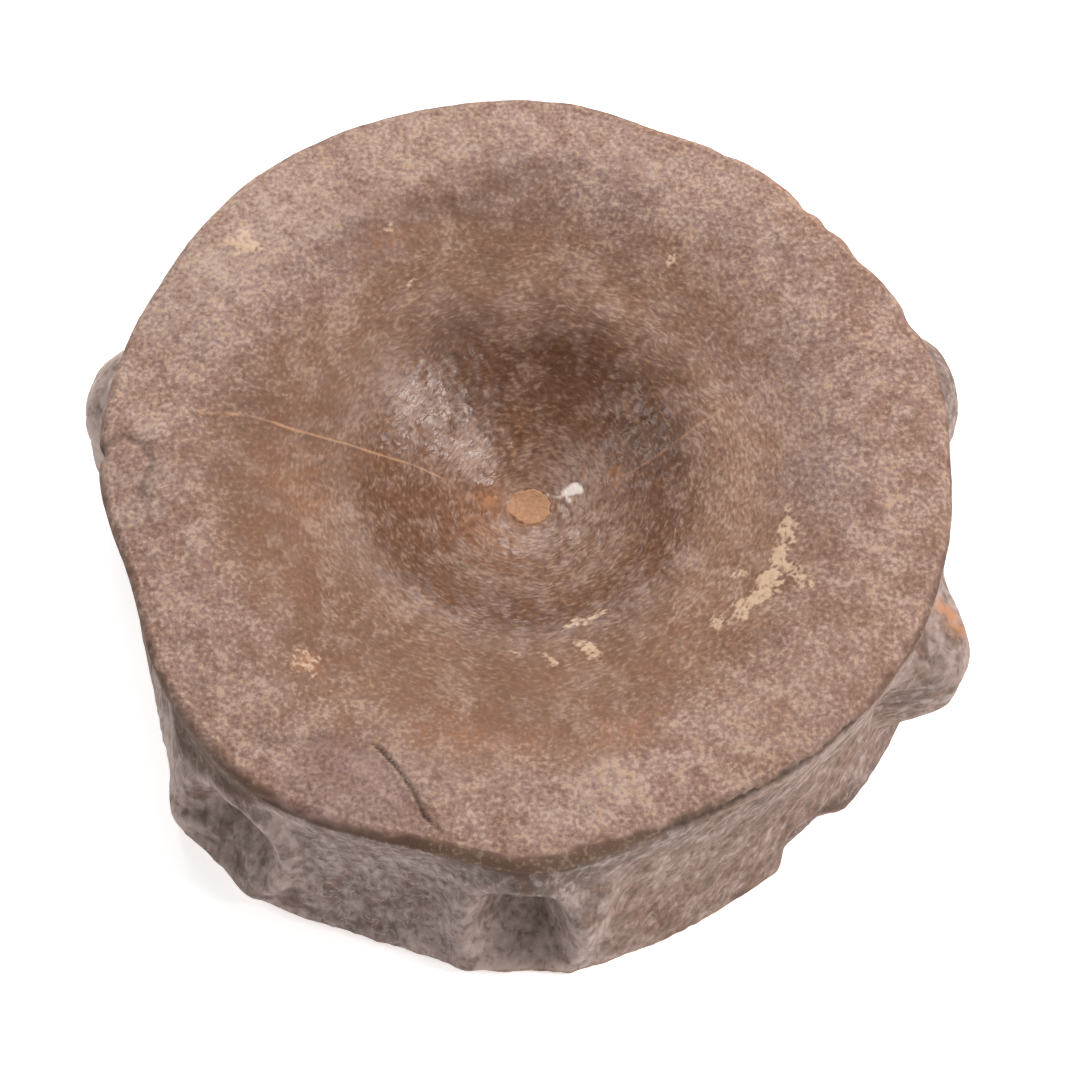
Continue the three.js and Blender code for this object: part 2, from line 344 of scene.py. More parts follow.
# Radii or levels between which a zone sets in
FUNNEL_MOUTH = (15, 22)
FUNNEL_BOTTOM = (2, 3.5)
RIM_START = (26.5, 34)
SCAR_START = (33.5, 35)
CRACK_WIDENS = (33, 37)
NOTCH_RADII = (RIM_RADIUS - 4, RIM_RADIUS - 0.5)
NOTCH_LEVELS = (21, 25)
GROOVE_RADII = (40.4, 41.2)
EDGE_RADII = (39.8, 41.2)
EDGE_LEVELS = (22.5, 25.0)
FOOT_LEVELS = (1.0, 6.0)
STREAK_LEVELS = (15, 22)
CHIP_SHADE_LEVELS = (2, 8)
# End of the scar at its inner radius, and how many degrees per mm it turns outwards
SCAR_END = (245.5, 1.9)
# Cosine and sine of the slant of the flank's fibres
SLANT = (0.81, 0.59)

# Heights and depths of the fine relief
FACE_BROAD = 0.15
FACE_LUMP = 0.07
DISH_GRAIN = 0.05
RIM_LUMP = 0.06
RIM_GRAIN = 0.07
FUNNEL_ARCS = 0.035
FLANK_BROAD = 0.12
FLANK_LUMP = 0.10
FLANK_GRAIN = 0.05
FLANK_FIBRE = 0.14
HOLLOW_LUMP = 0.05
FOOT_CALM = 0.65
EDGE_CALM = 0.6
CRACK_DEPTH = 0.35
CRACK_REACH = 0.189
CRACK_WIDENING = 0.105
SCAR_DEPTH = 0.22
SCAR_EDGE_DEPTH = 0.08
LEFT_FOLD_DEPTH = 0.22
TOP_FOLD_DEPTH = 0.3
CRUST_HEIGHT = 0.08
GROOVE_DROP = 1.2
GROOVE_WIDTH = 0.4
GROOVE_DEPTH = 0.38
GROOVE_TEETH = 0.25
EDGE_WEAR = 0.2
EDGE_WEAR_RUN = 0.9

# Clay in the pit
PLUG_EDGE = 2.2
PLUG_WAVES = ((1.6, 0.3), (5, 0.12))
PLUG_STRETCH = (1.06, 0.94)
PLUG_STAND = 0.07
PLUG_GRIT = 0.06
PLUG_TUCK = 0.2
PLUG_WALL = 1.7
AXIS_RADIUS = 0.02

# Layout of the OFBake map: scale per millimetre and corner of each disc, strips of the flank, caps
UV_REACH = RIM_RADIUS + 6.5
UV_UPPER = (0.0066, 0.005, 0.355)
UV_LOWER = (0.0036, 0.65, 0.64)
UV_STRIP_LEFT = 0.005
UV_STRIP_STEP = 0.985 / 181.0
UV_STRIP_SCALE = 0.0055
UV_STRIP_DROP = 1.5
UV_STRIP_FIRST = 0.01
UV_STRIP_SECOND = 0.18
UV_CAPS = ((0.97, 0.5), (0.97, 0.55))
UV_CAP_RADIUS = 0.008

# Colours, sRGB 0 to 255
DISH_TONES = ((136, 100, 79), (147, 111, 90))
FUNNEL_TONE = (120, 84, 64)
RIM_TONE = (149, 117, 103)
BROWN_TONE = (128, 91, 68)
MAUVE_TONE = (150, 124, 116)
SIDE_TONES = ((121, 102, 95), (155, 134, 125))
CANAL_TONE = (136, 118, 112)
# Reddish brown of the right flank, also used as painted shade on the far side
BROWN_SIDE_TONE = (140, 110, 95)
STREAK_TONE = (176, 156, 148)
# Colour of the painted shade in the flank's hollows, chip and dark patches
HOLLOW_SHADE_TONE = (92, 76, 68)
# Colour of the painted shade and dark stain of the upper face
SHADE_AND_STAIN_TONE = (84, 54, 38)
# Pale tones of the face and the flank; the face's tone also colours the painted sheen
PALE_AND_SHEEN_TONES = ((194, 168, 154), (224, 202, 190))
SCAR_TONE = (143, 112, 104)
MOTTLE_PALE_TONE = (160, 132, 124)
MOTTLE_BROWN_TONE = (150, 104, 74)
# Brown of the upper rim's edge, partly painted shade
EDGE_BROWN_AND_SHADE_TONE = (84, 62, 47)
FACE_GRAIN_TONES = ((204, 169, 136), (204, 178, 157))
SIDE_GRAIN_TONE = (190, 172, 164)
FUNNEL_GRAIN_TONE = (172, 136, 110)
SHADE_GRAIN_TONE = (146, 110, 84)
DARK_GRAIN_TONES = ((84, 56, 41), (84, 68, 61))
WORM_TONE = (180, 163, 157)
ORANGE_TONE = (198, 134, 88)
VEIN_TONE = (200, 152, 116)
# Painted shade of the crack and the folds
LINE_SHADE_TONE = (58, 42, 34)
# Painted shadow in the groove
GROOVE_SHADOW_TONE = (72, 62, 56)
CRUST_TONE = (212, 180, 150)
WHITE_TONE = (236, 224, 214)
CLAY_TONES = ((166, 121, 90), (180, 137, 104))

# Studio: lights as name, azimuth, elevation, distance, width and height in metres, watts, tint
FLOOR_HALF = 2.0
LIGHTS = [
    ("key_behind", 90, 44, 0.8, 0.6, 0.4, 5.0, (1.0, 1.0, 1.0)),
    ("box_right", 349, 48, 0.6, 0.2, 0.14, 1.9, (1.0, 0.97, 0.96)),
    ("box_left", 174, 40, 0.6, 0.16, 0.14, 0.6, (0.97, 0.98, 1.0)),
    ("fill_right", 322, 16, 0.7, 0.4, 0.3, 0.9, (1.0, 1.0, 1.0)),
]
WORLD_STRENGTH = 0.16
CAMERA_ELEVATION = 63.608
CAMERA_DISTANCE = 381.9
CAMERA_TARGET = (1.783, 4.584, 0.0)
CAMERA_LENS = 120.0
CAMERA_SENSOR = 36.0


# Helper functions

def smooth(value, low, high):
    part = np.clip((value - low) / (high - low), 0.0, 1.0)
    return part * part * (3 - 2 * part)


def turn(azimuth, start):
    return np.mod(azimuth - start + 180, 360) - 180


def bell(distance, width):
    return np.exp(-0.5 * (distance / width) ** 2)


def plateau(distance, flat, foot):
    return 1 - smooth(np.abs(distance), flat, foot)


def swell(azimuth, swells):
    total = np.zeros_like(azimuth)
    for at, width, height in swells:
        total += height * bell(turn(azimuth, at), width)
    return total


def on_face(azimuth, radius):
    angle = math.radians(azimuth)
    return radius * math.cos(angle), radius * math.sin(angle)


class Noise:
    """Smooth lattice noise from a seeded table, about -1 to 1."""

    SIZE = 64
    STEP = 2.03
    KEEP = 0.5
    SHIFT = 17.3

    def __init__(self, seed):
        self.table = np.random.default_rng(seed).uniform(-1, 1, (self.SIZE,) * 3)

    def once(self, x, y, z):
        cells = [np.floor(axis).astype(np.int64) for axis in (x, y, z)]
        parts = [axis - cell for axis, cell in zip((x, y, z), cells)]
        ease = [p * p * (3 - 2 * p) for p in parts]
        total = 0.0
        for corner in range(8):
            steps = [corner & 1, corner >> 1 & 1, corner >> 2 & 1]
            weight = 1.0
            for step, share in zip(steps, ease):
                weight = weight * (share if step else 1 - share)
            at = [np.mod(cell + step, self.SIZE) for cell, step in zip(cells, steps)]
            total = total + weight * self.table[at[0], at[1], at[2]]
        return total

    def octaves(self, x, y, z, size, count):
        total = 0.0
        scale = 1.0 / size
        strength = 1.0
        for octave in range(count):
            shift = self.SHIFT * octave
            total = total + strength * self.once(x * scale + shift, y * scale + shift, z * scale + shift)
            scale *= self.STEP
            strength *= self.KEEP
        return total


# Shape of the bone, as the solid has it

def face_depth(radius):
    bowl = BOWL_DEPTH * (1 - smooth(radius, BOWL_INNER, BOWL_OUTER))
    rise = 1 - (radius / FUNNEL_RADIUS) ** FUNNEL_CURVE
    funnel = FUNNEL_DEPTH * (rise + np.hypot(rise, FUNNEL_LIP)) / 2
    crest_run = RIM_RADIUS - EDGE_ROUND - CREST_RADIUS
    crest = CREST_FALL * (np.maximum(0, radius - CREST_RADIUS) / crest_run) ** 2
    return bowl + funnel + crest


def face_profile(rows):
    """Radius and depth from the axis out to the top of the rounded edge."""
    radius = np.linspace(PIT_MOUTH, RIM_RADIUS - EDGE_ROUND, rows)
    turn_part = np.radians(np.linspace(0, 90, EDGE_ROWS, endpoint=False)[1:])
    edge_radius = RIM_RADIUS - EDGE_ROUND * (1 - np.sin(turn_part))
    edge_depth = CREST_FALL + EDGE_ROUND * (1 - np.cos(turn_part))
    pit_radius = np.array([AXIS_RADIUS, 0.9, PIT_RADIUS - 0.1, PIT_RADIUS, PIT_RADIUS + 0.15])
    mouth = float(face_depth(np.array(PIT_MOUTH)))
    pit_depth = np.array([PIT_FLOOR, PIT_FLOOR, PIT_FLOOR, PIT_FLOOR - 0.3, mouth + 0.12])
    radii = np.concatenate([pit_radius, radius, edge_radius])
    depths = np.concatenate([pit_depth, face_depth(radius), edge_depth])
    return radii, depths


def flank_radius(part):
    """Radius up the hollow flank, from its low end at 0 to its top at 1."""
    return RIM_RADIUS - WAIST_HOLLOW * np.sin(part * np.pi) ** WAIST_POWER


def bone_profile():
    """Profile from the lower pit, over the flank, to the upper pit, and the stretch of each point."""
    low_radius, low_depth = face_profile(LOWER_ROWS)
    up_radius, up_depth = face_profile(FACE_ROWS)
    low = CREST_FALL + EDGE_ROUND
    part = np.linspace(0, 1, FLANK_ROWS)
    flank_level = low + part * (THICKNESS - 2 * low)
    radius = np.concatenate([low_radius, flank_radius(part), up_radius[::-1]])
    level = np.concatenate([low_depth, flank_level, THICKNESS - up_depth[::-1]])
    counts = [len(low_radius), FLANK_ROWS, len(up_radius)]
    code = np.repeat([LOWER_FACE, SIDE, UPPER_FACE], counts)
    return radius, level, code


def rib_relief(azimuth, level):
    relief = 0.0
    for at, before, after, height, middle, half_length, top in RIB_FACETS:
        away = turn(azimuth, at)
        across = np.abs(away) / np.where(away < 0, before, after)
        along = np.abs(level - middle) / half_length
        far = (across ** FACET_SQUARENESS + along ** FACET_SQUARENESS) ** (1 / FACET_SQUARENESS)
        relief = relief + height * (1 - smooth(far, top, 1))
    return relief


def hollow_reach(hollow, azimuth, level):
    along = (level - hollow["level"]) / hollow["half_length"]
    away = turn(azimuth, hollow["azimuth"]) - hollow["lean"] * hollow["after"] * along
    across = away / np.where(away < 0, hollow["before"], hollow["after"])
    return across, along, np.hypot(across, along)


def arch_relief(azimuth, level):
    relief = 0.0
    for hollow in ARCH_HOLLOWS:
        across, along, far = hollow_reach(hollow, azimuth, level)
        facing = 0.5 + 0.5 * np.cos(np.arctan2(along, across) - math.radians(hollow["rim_turn"]))
        form = -hollow["depth"] * (1 - smooth(far, HOLLOW_FLOOR, HOLLOW_EDGE))
        rim = (RIM_LEAST + (1 - RIM_LEAST) * facing) * bell(far - RIM_AT, RIM_WIDTH)
        form = form + hollow["rim"] * rim
        bar = bell(level - hollow["bar_level"], BAR_WIDTH) * plateau(across, *BAR_ENDS)
        form = form + hollow["bar"] * bar
        relief = relief + form * smooth(level, *hollow["low"])
    for at, width, height, middle, flat, foot in ARCH_RIDGES:
        relief = relief + height * bell(turn(azimuth, at), width) * plateau(level - middle, flat, foot)
    floor = plateau(turn(azimuth, CANAL_AZIMUTH), CANAL_FLAT, CANAL_FOOT)
    return relief - CANAL_DEPTH * floor * smooth(level, 2, 6) * (1 - smooth(level, 20, 25))


def chip_relief(azimuth, level):
    across = plateau(turn(azimuth, CHIP_AZIMUTH), CHIP_FLAT, CHIP_FOOT)
    return -CHIP_DEPTH * across * (1 - smooth(level, *CHIP_LEVELS))


def bone_point(plain_radius, level, azimuth):
    upper = smooth(level, 0, THICKNESS)
    outline = (1 - upper) * swell(azimuth, LOWER_SWELLS) + upper * swell(azimuth, UPPER_SWELLS)
    on_rim = (plain_radius / RIM_RADIUS) ** SWELL_FADE
    on_flank = smooth(plain_radius, RIM_RADIUS - RELIEF_FADE, RIM_RADIUS - WAIST_HOLLOW)
    knobs = rib_relief(azimuth, level) + arch_relief(azimuth, level)
    relief = knobs * (1 - smooth(level, *UPPER_FADE)) + chip_relief(azimuth, level)
    radius = plain_radius + outline * on_rim + relief * on_flank
    foot = -FOOT_SINK + FOOT_WAVE * (1 - np.cos(np.radians((azimuth - FOOT_AZIMUTH) * FOOT_COUNT)))
    low_share = on_rim * (1 - smooth(level, 0, THICKNESS / 2))
    share = np.where(level > THICKNESS / 2, 1 - smooth(plain_radius, *SHIFT_FADE), 0.0)
    x = radius * np.cos(np.radians(azimuth)) + DISH_SHIFT[0] * share
    y = radius * np.sin(np.radians(azimuth)) + DISH_SHIFT[1] * share
    return x, y, level + foot * low_share


# Marks and zones

def line_distance(x, y, line):
    """Distance of points from a line given as azimuth and radius."""
    points = [on_face(azimuth, radius) for azimuth, radius in line]
    best = np.full_like(x, 1e9)
    for (ax, ay), (bx, by) in zip(points, points[1:]):
        run_x, run_y = bx - ax, by - ay
        along = np.clip(((x - ax) * run_x + (y - ay) * run_y) / (run_x ** 2 + run_y ** 2), 0, 1)
        best = np.minimum(best, np.hypot(x - ax - along * run_x, y - ay - along * run_y))
    return best


def crust_cover(x, y, ragged):
    """Share of pale crust, with a ragged edge."""
    cover = np.zeros_like(x)
    for azimuth, radius, half_length, half_width, heading, most in CRUSTS:
        cx, cy = on_face(azimuth, radius)
        angle = math.radians(heading)
        along = ((x - cx) * math.cos(angle) + (y - cy) * math.sin(angle)) / half_length
        across = (-(x - cx) * math.sin(angle) + (y - cy) * math.cos(angle)) / half_width
        far = np.hypot(along, across) + 0.7 * ragged
        cover = np.maximum(cover, most * (1 - smooth(far, 0.4, 1.4)))
    return cover


def patches(azimuth, radius, listed):
    """Soft patches of a face, strongest where they overlap."""
    cover = np.zeros_like(azimuth)
    for at, reach_angle, middle, reach_radius, strength in listed:
        spot = bell(turn(azimuth, at), reach_angle) * bell(radius - middle, reach_radius)
        cover = np.maximum(cover, strength * spot)
    return cover


def hollow_shade(azimuth, level):
    shade = np.zeros_like(azimuth)
    for hollow in ARCH_HOLLOWS:
        _, _, far = hollow_reach(hollow, azimuth, level)
        shade = np.maximum(shade, 1 - smooth(far, 0.55, 1.0))
    return shade


class Skin:
    """Points of the bone's surface: the noises and zones there, the fine relief and the masks."""

    def __init__(self, x, y, z, radius, level, azimuth, code):
        self.x, self.y, self.z = x, y, z
        self.radius, self.level, self.azimuth = radius, level, azimuth
        self.upper = (code == UPPER_FACE).astype(float)
        self.face = (code != SIDE).astype(float)
        self.flank = 1 - self.face
        self.mask = {"flank": self.flank}
        self.add_noises()
        self.add_zones()
        self.relief = self.zone_relief()
        self.add_lines()
        self.add_crusts()
        self.add_groove()
        self.add_edge_brown_and_shade()
        self.add_patches()

    def sector(self, azimuth, flat, foot):
        return plateau(turn(self.azimuth, azimuth), flat, foot)

    def line_mark(self, line, shift, core, edge):
        """1 along a line of the upper face, fading out between two distances from it."""
        away = line_distance(self.x, self.y, line) + shift
        return self.upper * (1 - smooth(away, core, edge))

    def add_noises(self):
        wide, mid, fine, streak = Noise(11), Noise(23), Noise(37), Noise(53)
        x, y, z = self.x, self.y, self.z
        self.broad = wide.octaves(x, y, z, 9.0, 3)
        self.lump = mid.octaves(x, y, z, 2.6, 3)
        self.grain = fine.octaves(x, y, z, 0.8, 2)
        self.ragged = fine.octaves(x + 9, y, z, 1.1, 3)
        self.wobble = mid.once(x * 0.9, y * 0.9, z * 0.9)
        self.mask["blotch"] = wide.octaves(x + 31, y, z, 6.0, 3) / 3.5 + 0.5
        self.mask["mottle"] = mid.octaves(x + 17, y, z, 1.9, 3) / 3.5 + 0.5
        self.mask["speck"] = fine.octaves(x + 23, y, z, 0.8, 2) / 3.0 + 0.5
        self.mask["waver"] = mid.once(x * 0.5 + 5, y * 0.5, z)

        # Arcs round the funnels, fibres across the flank and teeth along its groove
        along_x = np.cos(np.radians(self.azimuth))
        along_y = np.sin(np.radians(self.azimuth))
        around = np.where(self.radius < 9, 4.0, 9.0)
        lower_shift = 40 * self.face * (1 - self.upper)
        rings = 1.6 * (self.radius + 0.5 * mid.once(x * 0.7, y * 0.7, z)) + lower_shift
        self.arcs = streak.octaves(around * along_x, around * along_y, rings, 1.0, 2)
        run = RIM_RADIUS * np.radians(turn(self.azimuth, 270))
        across = SLANT[0] * run - SLANT[1] * self.level
        along = SLANT[1] * run + SLANT[0] * self.level
        self.fibre = streak.octaves(across / 1.1, along / 5.0, along * 0, 1.0, 3)
        self.teeth = streak.once(95 * along_x, 95 * along_y, self.level * 0.2)

    def add_zones(self):
        face, flank = self.face, self.flank
        funnel = face * (1 - smooth(self.radius, *FUNNEL_MOUTH)) * smooth(self.radius, *FUNNEL_BOTTOM)
        self.mask["funnel"] = funnel
        self.mask["rim"] = face * smooth(self.radius + 1.5 * self.broad, *RIM_START)
        self.mask["canal"] = flank * self.sector(*CANAL_SECTOR)
        self.right_flank = flank * self.sector(*RIGHT_SECTOR)
        # The right flank's own reddish brown, and painted shade on the far side where the key light falls
        self.mask["brown_flank"] = np.maximum(self.right_flank, flank * self.sector(*FAR_SIDE_SHADE_SECTOR))
        self.arch_hollow = flank * hollow_shade(self.azimuth, self.level)
        self.mask["streaks"] = self.right_flank * smooth(self.level + 1.5 * self.fibre, *STREAK_LEVELS)
        self.mask["streaks"] *= smooth(self.fibre, -0.3, 0.5)

    def zone_relief(self):
        """Relief of the faces and the flank, calmer near the feet and the upper outline."""
        rim = self.mask["rim"]
        calm = 1 - FOOT_CALM * (1 - smooth(self.level, *FOOT_LEVELS))
        outline = smooth(self.radius, *EDGE_RADII) * smooth(self.level, *EDGE_LEVELS)
        relief = self.face * (FACE_BROAD * self.broad + FACE_LUMP * self.lump)
        relief += rim * (RIM_LUMP * self.lump + RIM_GRAIN * self.grain)
        relief += self.face * (1 - rim) * DISH_GRAIN * self.grain
        relief += self.mask["funnel"] * FUNNEL_ARCS * self.arcs
        flank = FLANK_BROAD * self.broad + FLANK_LUMP * self.lump + FLANK_GRAIN * self.grain
        relief += calm * (self.flank * flank + self.right_flank * FLANK_FIBRE * self.fibre)
        relief -= self.arch_hollow * HOLLOW_LUMP * np.abs(self.lump)
        return relief * (1 - EDGE_CALM * outline)

    def add_lines(self):
        """Crack, scar, folds, veins and white mark of the upper face, with painted shade in the crack and
        along the steps of the folds and the scar's edge.
        """
        wobble = self.wobble
        crack_edge = CRACK_REACH + CRACK_WIDENING * smooth(self.radius, *CRACK_WIDENS)
        crack = self.line_mark(CRACK, 0.12 * wobble, 0.02, crack_edge)
        past_end = self.azimuth - SCAR_END[0] - SCAR_END[1] * (self.radius - SCAR_START[0])
        scar = self.upper * smooth(self.radius, *SCAR_START) * self.sector(*SCAR_SECTOR)
        scar *= 1 - smooth(past_end, -0.6, 0.8)
        scar_edge = self.line_mark(SCAR_EDGE, 0.3 * wobble, 0.1, 0.6)
        fold = self.line_mark(LEFT_FOLD, 0.3 * wobble, 0.1, 1.0)
        fold_bottom = self.line_mark(LEFT_FOLD, 0.3 * wobble, 0.05, 0.5)
        top_fold = self.line_mark(TOP_FOLD, 0.6 * wobble, 0.2, 2.2)
        self.relief -= CRACK_DEPTH * crack + SCAR_DEPTH * scar + SCAR_EDGE_DEPTH * scar_edge
        self.relief -= LEFT_FOLD_DEPTH * fold + TOP_FOLD_DEPTH * top_fold
        self.mask["scar"] = scar
        # Painted shade in the crack and along the steps of the folds and the scar's edge
        self.mask["dark"] = np.clip(crack + 0.55 * fold_bottom + 0.2 * top_fold + 0.25 * scar_edge, 0, 1)

        left_vein = self.line_mark(LEFT_VEIN, 0.1 * wobble, 0.0, 0.18)
        right_vein = self.line_mark(RIGHT_VEIN, 0.12 * wobble, 0.0, 0.2) * smooth(self.ragged, -0.6, 0.2)
        self.mask["vein"] = np.maximum(left_vein, 0.6 * right_vein)
        white = self.line_mark(WHITE_MARK, 0.45 * self.ragged, 0.16, 0.55)
        self.mask["white"] = np.maximum(white, self.line_mark(WHITE_SPUR, 0.45 * self.ragged, 0.05, 0.3))

    def add_crusts(self):
        self.mask["crust"] = self.upper * crust_cover(self.x, self.y, self.ragged)
        self.relief += CRUST_HEIGHT * self.mask["crust"]

    def add_groove(self):
        """Toothed groove along the rounded edge at the lower right, with painted shadow in it."""
        away = self.level - (THICKNESS - GROOVE_DROP + 0.12 * self.ragged)
        groove = smooth(self.radius, *GROOVE_RADII) * self.sector(*GROOVE_SECTOR) * bell(away, GROOVE_WIDTH)
        self.relief -= groove * (GROOVE_DEPTH + GROOVE_TEETH * self.teeth)
        self.mask["groove"] = np.clip(groove * (0.7 + 0.4 * self.teeth), 0, 1)

    def add_edge_brown_and_shade(self):
        """Brown band on both sides of the upper rim's edge, partly painted shade of the rounded edge, worn
        down where it is wide.
        """
        down = self.level - THICKNESS + np.interp(self.azimuth, *np.transpose(BROWN_EDGE))
        edge = self.flank * smooth(down + 0.7 * self.lump, -1.4, 1.4)
        width = np.interp(self.azimuth, *np.transpose(FACE_EDGE))
        inner = RIM_RADIUS - width
        edge += 0.85 * self.upper * smooth(self.radius + 0.35 * self.ragged, inner - 0.5, inner + 0.7)
        self.mask["edge"] = np.clip(edge, 0, 1)
        outer = RIM_RADIUS - EDGE_WEAR_RUN
        worn = smooth(self.radius, inner - 0.8, outer) * (1 - smooth(self.radius, outer, RIM_RADIUS))
        self.relief -= EDGE_WEAR * self.upper * worn * smooth(width, 0.7, 1.4)

    def add_patches(self):
        """Soft patches of colour, those of the photograph with uneven edges."""
        uneven = np.clip(0.85 + 0.5 * self.broad + 0.35 * self.lump, 0, 1.4)
        for name, listed in UPPER_PATCHES.items():
            cover = patches(self.azimuth, self.radius, listed) * uneven
            self.mask[name] = self.upper * np.clip(cover, 0, 1)
        pale_side = patches(self.azimuth, self.level, SIDE_PATCHES) * uneven
        self.mask["pale"] = self.mask["pale"] + self.flank * np.clip(pale_side, 0, 1)

        # Painted shade in the arch hollows, in the chip and in the flank's dark patches
        chip_shade = self.sector(*CHIP_SECTOR) * (1 - smooth(self.level, *CHIP_SHADE_LEVELS))
        side_shade = np.maximum(chip_shade, patches(self.azimuth, self.level, SIDE_SHADES))
        self.mask["hollow"] = np.maximum(0.35 * self.arch_hollow, self.flank * side_shade)

        ochre = smooth(self.radius, RIM_RADIUS - 1.6, RIM_RADIUS - 0.4) * self.sector(*OCHRE_SECTOR)
        orange = np.clip(patches(self.azimuth, self.radius, ORANGE_PATCHES), 0, 1)
        orange = self.upper * (orange + 0.35 * ochre * smooth(self.ragged, -0.8, 0.6))
        orange += self.flank * patches(self.azimuth, self.level, [KNOB_SPOT])
        self.mask["orange"] = np.clip(orange, 0, 1)


# Building meshes

def grid_mesh(name, points):
    """Mesh from a grid of points, sides first, closed round the sides and capped at both ends."""
    sides, rows = points.shape[:2]
    index = np.arange(sides * rows).reshape(sides, rows)
    following = np.roll(index, -1, axis=0)
    quads = np.stack([index[:, :-1], following[:, :-1], following[:, 1:], index[:, 1:]], -1).reshape(-1, 4)
    mesh = bpy.data.meshes.new(name)
    caps = [index[::-1, 0], index[:, -1]]
    loops = np.concatenate([quads.reshape(-1)] + caps)
    starts = np.arange(len(quads)) * 4
    at = len(quads) * 4
    for cap in caps:
        starts = np.append(starts, at)
        at += len(cap)
    mesh.vertices.add(sides * rows)
    mesh.vertices.foreach_set("co", points.reshape(-1).astype(np.float32))
    mesh.loops.add(len(loops))
    mesh.loops.foreach_set("vertex_index", loops.astype(np.int32))
    mesh.polygons.add(len(starts))
    mesh.polygons.foreach_set("loop_start", starts.astype(np.int32))
    mesh.update(calc_edges=True)
    mesh.validate()
    mesh.shade_smooth()
    return mesh, quads, caps


def add_attribute(mesh, name, layers):
    """Colour attribute of up to four layers."""
    values = np.ones((len(layers[0]), 4), np.float32)
    values[:, :len(layers)] = np.stack(layers, -1)
    attribute = mesh.attributes.new(name, "FLOAT_COLOR", "POINT")
    attribute.data.foreach_set("color", values.reshape(-1))


def link(name, mesh, material):
    mesh.materials.append(material)
    piece = bpy.data.objects.new(name, mesh)
    bpy.context.scene.collection.objects.link(piece)
    return piece


def bone_uv(mesh, quads, caps, skin, code):
    """Upper disc, lower disc and the flank in two strips, on one square."""
    flat = quads.reshape(-1)
    uv = np.zeros((len(flat), 2))
    upper = np.repeat(code[quads].min(1) == UPPER_FACE, 4)
    lower = np.repeat(code[quads].max(1) == LOWER_FACE, 4)
    for disc, (scale, left, low) in ((upper, UV_UPPER), (lower, UV_LOWER)):
        uv[disc, 0] = left + scale * (skin.x[flat[disc]] + UV_REACH)
        uv[disc, 1] = low + scale * (skin.y[flat[disc]] + UV_REACH)

    side = ~(upper | lower)
    around = skin.azimuth[quads]
    across_start = np.ptp(around, axis=1) > 180
    around[across_start] += np.where(around[across_start] < 180, 360, 0)
    second = np.repeat(around.mean(1) >= 180, 4)
    run = around.reshape(-1) - 180 * second
    start = np.where(second, UV_STRIP_SECOND, UV_STRIP_FIRST)
    height = skin.level[flat] + np.minimum(skin.radius[flat], RIM_RADIUS) - RIM_RADIUS
    uv[side, 0] = UV_STRIP_LEFT + UV_STRIP_STEP * run[side]
    uv[side, 1] = start[side] + UV_STRIP_SCALE * (height[side] + UV_STRIP_DROP)

    for cap, middle in zip(caps, UV_CAPS):
        ring = np.linspace(0, 2 * np.pi, len(cap), endpoint=False)
        circle = np.stack([np.cos(ring), np.sin(ring)], -1)
        uv = np.concatenate([uv, middle + UV_CAP_RADIUS * circle])
    layer = mesh.uv_layers.new(name="OFBake")
    layer.data.foreach_set("uv", uv.reshape(-1).astype(np.float32))


def axis_place():
    """Where the disc's axis and the lower rim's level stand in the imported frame."""
    low, high = (np.array(corner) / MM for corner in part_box("centrum"))
    shift = (low + high) / 2 - bone_middle()
    shift[2] = low[2]
    return shift


def build_centrum(material, shift):
    profile_radius, profile_level, profile_code = bone_profile()
    azimuths = np.linspace(0, 360, SIDES, endpoint=False)
    azimuth = np.repeat(azimuths, len(profile_radius))
    plain = np.tile(profile_radius, SIDES)
    level = np.tile(profile_level, SIDES)
    code = np.tile(profile_code, SIDES)
    x, y, height = bone_point(plain, level, azimuth)
    near_rim = smooth(plain, *NOTCH_RADII) * smooth(level, *NOTCH_LEVELS)
    for at, width, depth in NOTCHES:
        inward = depth * bell(turn(azimuth, at), width) * near_rim
        x = x - inward * np.cos(np.radians(azimuth))
        y = y - inward * np.sin(np.radians(azimuth))
    skin = Skin(x, y, height, plain, level, azimuth, code)

    # The relief runs along the surface's own outward direction
    points = np.stack([x, y, height], -1).reshape(SIDES, -1, 3)
    across = np.roll(points, -1, axis=0) - np.roll(points, 1, axis=0)
    along = np.gradient(points, axis=1)
    normal = np.cross(across, along)
    normal /= np.linalg.norm(normal, axis=2, keepdims=True) + 1e-9
    steady = smooth(plain, PIT_MOUTH - 0.2, PIT_MOUTH + 0.8)
    points = points + normal * (skin.relief * steady).reshape(SIDES, -1, 1)
    points[..., 2] = np.maximum(points[..., 2], 0)

    points = points + shift
    mesh, quads, caps = grid_mesh("centrum_surface", points * MM)
    for name, layers in MASK_LAYERS.items():
        add_attribute(mesh, name, [skin.mask[layer] for layer in layers])
    bone_uv(mesh, quads, caps, skin, code)
    return link("centrum_surface", mesh, material)


def bone_middle():
    """Middle of the plain bone's box, at the solid's own steps."""
    azimuth = np.linspace(0, 360, 3600, endpoint=False)
    levels = np.linspace(CREST_FALL + EDGE_ROUND, THICKNESS - CREST_FALL - EDGE_ROUND, 100)
    grid_azimuth, grid_level = np.meshgrid(azimuth, levels)
    part = (grid_level - levels[0]) / (levels[-1] - levels[0])
    x, y, _ = bone_point(flank_radius(part), grid_level, grid_azimuth)
    return np.array([(x.min() + x.max()) / 2, (y.min() + y.max()) / 2, 0.0])


